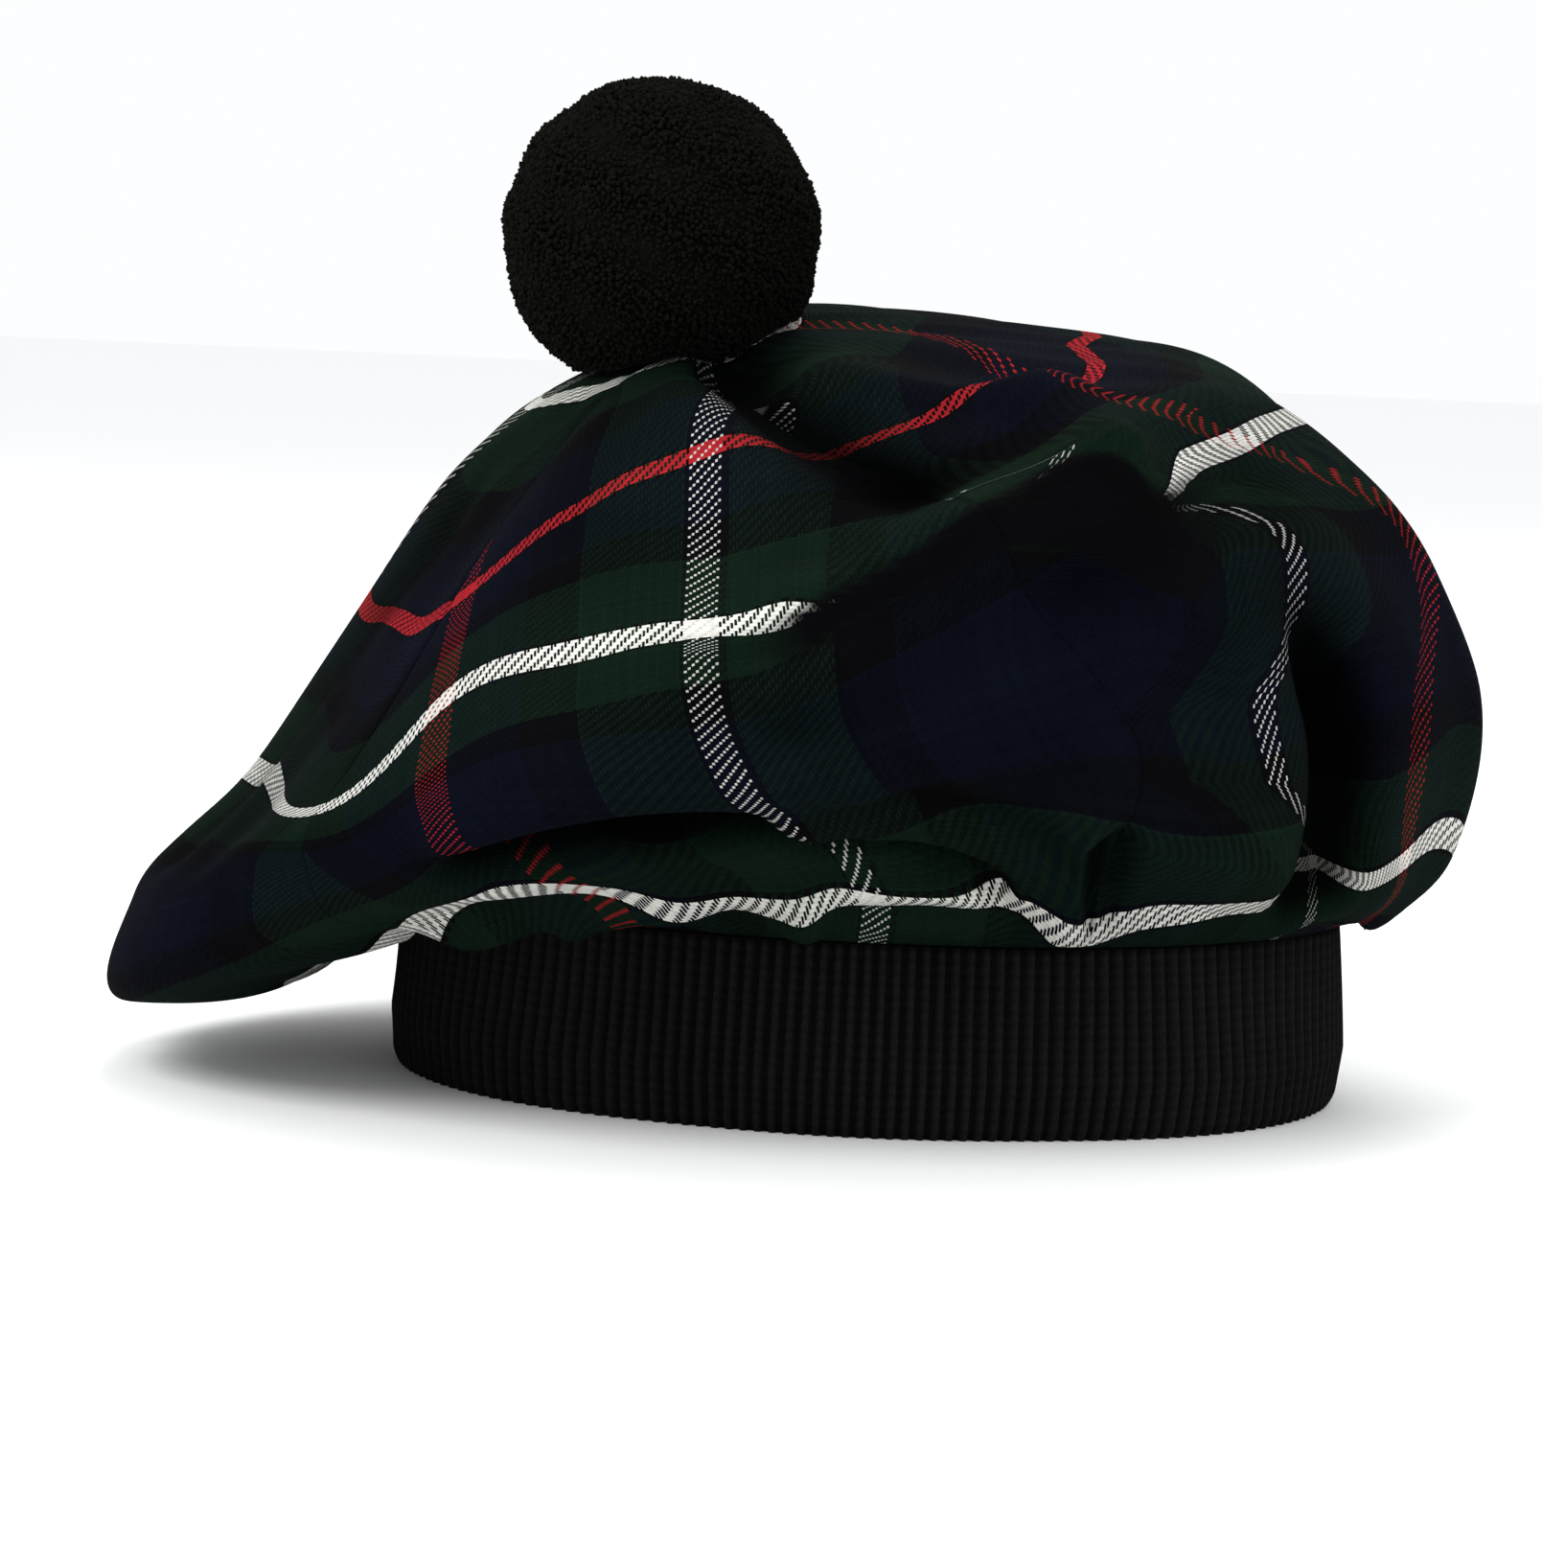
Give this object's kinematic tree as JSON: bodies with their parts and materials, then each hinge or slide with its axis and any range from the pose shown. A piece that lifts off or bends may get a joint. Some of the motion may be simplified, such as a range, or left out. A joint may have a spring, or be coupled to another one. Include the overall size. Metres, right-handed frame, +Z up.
{
  "type": "tam o'shanter bonnet",
  "caption": "Soft round wool bonnet in dark tartan with a drooping crown, a black rib knit headband and a black wool pompom on top.",
  "frame": {"origin": "on the floor under the middle of the hat's bounding box, with the flat lower edge of the headband on the floor", "axes": "+Z up, +X to the side away from the drooping end of the crown, -Y towards the front"},
  "size_m": [0.2768, 0.2466, 0.2043],
  "materials": {
    "crown_cloth": "twill woven wool in a dark green and navy tartan with white and red lines, softly napped",
    "band_knit": "black rib knit wool, matte",
    "toorie_wool": "dense black trimmed wool, matte"
  },
  "bodies": {
    "root": {"crown_panel_front": "crown_cloth", "crown_panel_right": "crown_cloth", "crown_panel_back": "crown_cloth", "crown_panel_left": "crown_cloth", "band": "band_knit", "toorie": "toorie_wool"}
  },
  "joints": []
}
